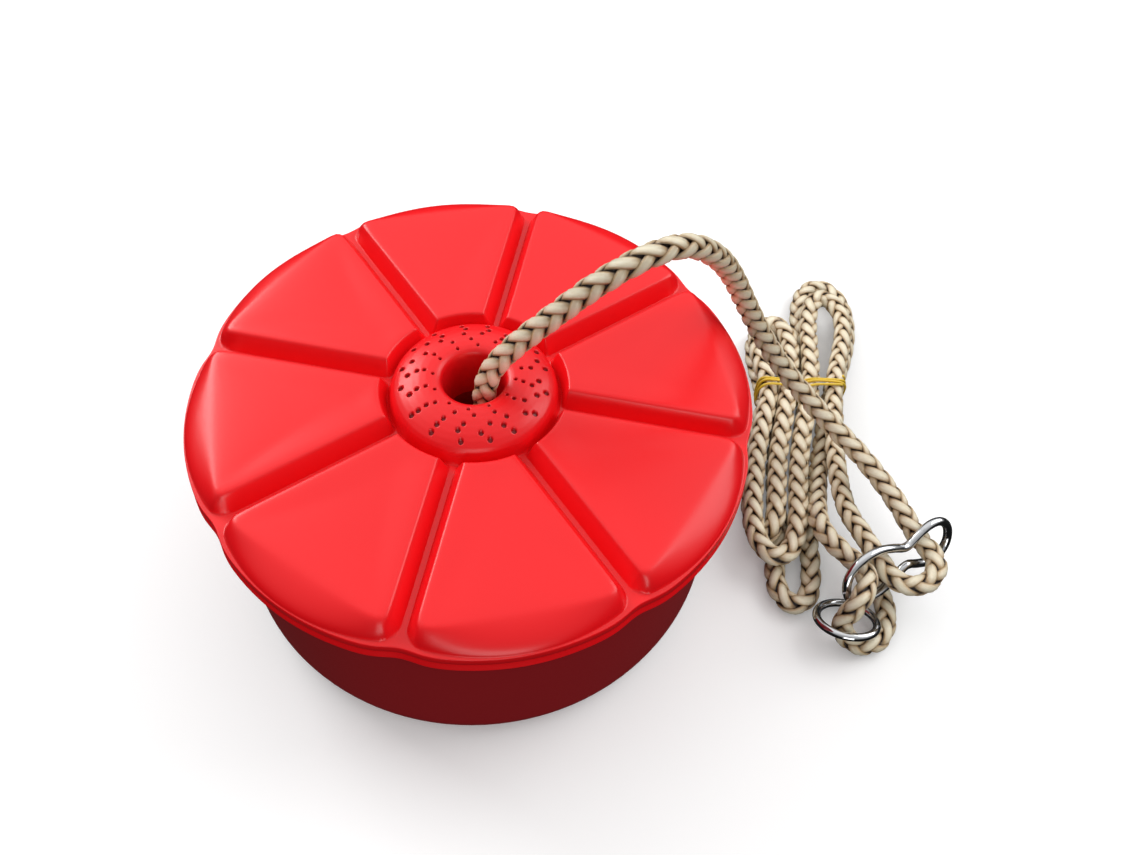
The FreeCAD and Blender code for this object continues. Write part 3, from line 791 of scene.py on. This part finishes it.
# Painted shade: the bowl is the seat's red darkened, for its shaded underside.
bowl_red_painted_shade = moulded_plastic("bowl_red_darkened_as_painted_shade", (0.34, 0.014, 0.018), (0.40, 0.03, 0.035), 0.30, 0.3)
sleeve_red = moulded_plastic("sleeve_plastic", (0.40, 0.006, 0.008), (0.45, 0.03, 0.03), 0.45)
chrome = polished_metal("plated_wire", (0.66, 0.67, 0.69), 0.07)
steel = polished_metal("washer_steel", (0.55, 0.56, 0.58), 0.30)
yellow = moulded_plastic("tie_plastic", (0.80, 0.55, 0.05), (0.85, 0.70, 0.30), 0.35)
seal = moulded_plastic("melted_rope", (0.20, 0.12, 0.06), (0.30, 0.20, 0.10), 0.40)

rope, rope_line = make_rope(yarn)
make_rope_in_seat(yarn)
make_stopper_knot(yarn)
make_seat(red)
adjuster = make_adjuster(chrome)
right_tie = make_tie("right_tie_wire", "right_tie", (208, 106, 14.6), 14.6, 13.4, 2.6, yellow)
left_tie = make_tie("left_tie_wire", "left_tie", (179.7, 101, 14.2), 13.2, 13.4, -1.8, yellow)
end_cap = make_end_cap(rope_line, seal)

CAD_MATERIALS = {
    "lower_shell": bowl_red_painted_shade, "centre_sleeve": sleeve_red, "knot_washer": steel, "hanging_ring": chrome,
}
for node, material in CAD_MATERIALS.items():
    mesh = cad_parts[node].data
    mesh.materials.clear()
    mesh.materials.append(material)


# ---------------------------------------------------------------- stage
FLOOR_HALF = 3


def make_floor():
    """A floor that the camera sees, but that throws no light back on the object."""
    corners = [(FLOOR_HALF * x, FLOOR_HALF * y, 0) for x, y in ((-1, -1), (1, -1), (1, 1), (-1, 1))]
    floor = new_mesh("floor", corners, [(0, 1, 2, 3)], [pale_floor()])
    floor.visible_diffuse = False
    floor.visible_glossy = False


def add_area(name, place, target, size, power):
    """A square lamp that faces a point."""
    lamp = bpy.data.lights.new(name, "AREA")
    lamp.shape = "SQUARE"
    lamp.size = size
    lamp.energy = power
    light = bpy.data.objects.new(name, lamp)
    light.location = place
    light.rotation_euler = (Vector(target) - Vector(place)).to_track_quat("-Z", "Y").to_euler()
    bpy.context.scene.collection.objects.link(light)


def light_world():
    """A studio dome that lights from above and behind, dark at the horizon, and a plain white backdrop."""
    world = bpy.data.worlds.new("studio")
    world.use_nodes = True
    tree = world.node_tree
    background = tree.nodes["Background"]
    place = tree.nodes.new("ShaderNodeTexCoord")
    split = tree.nodes.new("ShaderNodeSeparateXYZ")
    tree.links.new(place.outputs["Generated"], split.inputs["Vector"])
    height = remap(tree, split.outputs["Z"], 0.1, 0.55, 0.02, 1.0)
    behind = remap(tree, split.outputs["Y"], -0.6, 0.2, 0.4, 1.0)
    back_sky = mix_colours(tree, behind, (0, 0, 0), (1, 1, 1))
    studio = mix_colours(tree, height, (0, 0, 0), back_sky)
    seen = tree.nodes.new("ShaderNodeLightPath").outputs["Is Camera Ray"]
    tree.links.new(mix_colours(tree, seen, studio, (1, 1, 1)), background.inputs["Color"])
    background.inputs["Strength"].default_value = 1.05
    bpy.context.scene.world = world


CAMERA_PLACE = (0.0486, -0.3026, 0.5164)
CAMERA_ELEVATION = math.radians(54.04)
CAMERA_ROLL = math.radians(4.5)
SENSOR_WIDTH = 36
# How wide the view is at a distance of one.
VIEW_WIDTH = 1.14


def make_camera():
    data = bpy.data.cameras.new("camera")
    data.sensor_width = SENSOR_WIDTH
    data.lens = SENSOR_WIDTH / VIEW_WIDTH
    data.clip_start = 0.01
    camera = bpy.data.objects.new("camera", data)
    turn = Matrix.Rotation(math.pi / 2 - CAMERA_ELEVATION, 4, "X") @ Matrix.Rotation(CAMERA_ROLL, 4, "Z")
    camera.matrix_world = Matrix.Translation(CAMERA_PLACE) @ turn
    bpy.context.scene.collection.objects.link(camera)
    bpy.context.scene.camera = camera


make_floor()
light_world()
add_area("key", (-1.2, 0.9, 1.0), (0.05, 0, 0.05), 0.9, 16)
add_area("fill", (1.3, 0.6, 1.1), (0.1, 0, 0.05), 1.2, 12)
add_area("front", (0.2, -1.5, 0.3), (0.02, 0, 0.06), 0.8, 7)
make_camera()
bpy.context.scene.view_settings.view_transform = "Standard"
